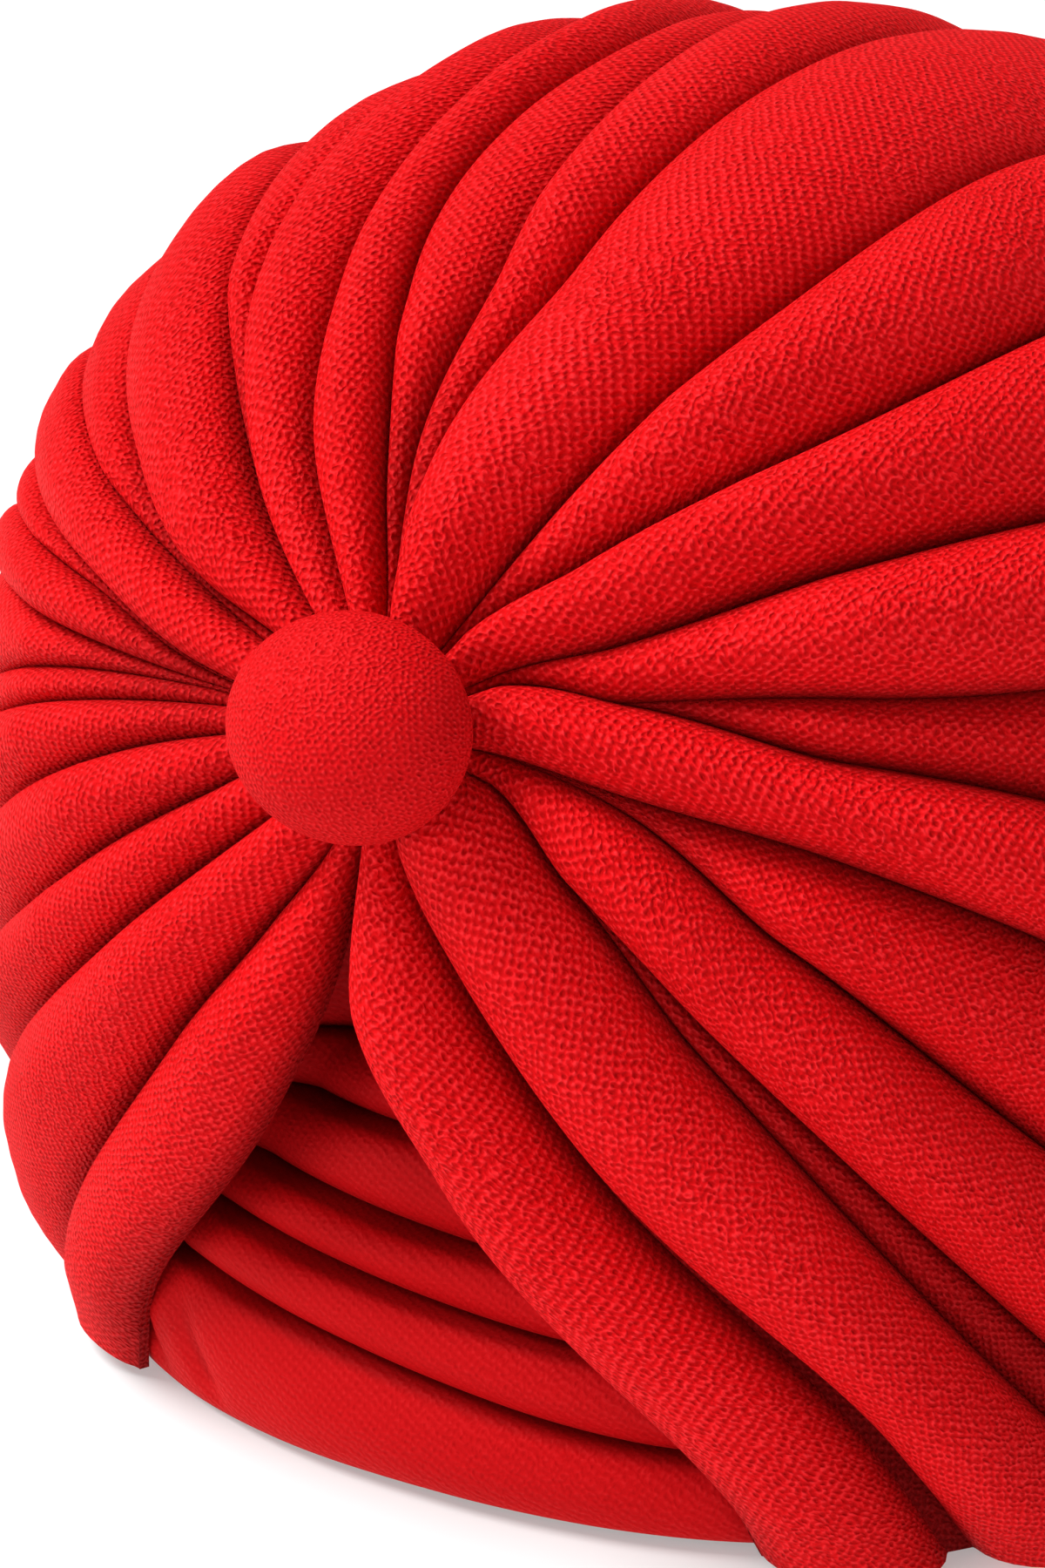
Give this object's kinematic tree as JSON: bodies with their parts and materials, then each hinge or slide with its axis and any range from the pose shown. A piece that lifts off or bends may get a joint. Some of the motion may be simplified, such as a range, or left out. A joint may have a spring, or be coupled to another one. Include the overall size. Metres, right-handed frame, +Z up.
{
  "type": "turban hat",
  "caption": "Soft red pleated turban hat with folds fanning out from a covered front button over a rolled forehead band.",
  "frame": {"origin": "on the resting plane, under the middle of the hat's overall box", "axes": "+Z up through the crown, -Y out of the front where the button is, +X to the wearer's left"},
  "size_m": [0.2114, 0.2402, 0.1764],
  "materials": {
    "red_jersey": "matte crepe knit"
  },
  "bodies": {
    "root": {"crown_wrap": "red_jersey", "forehead_band": "red_jersey", "covered_button": "red_jersey"}
  },
  "joints": []
}
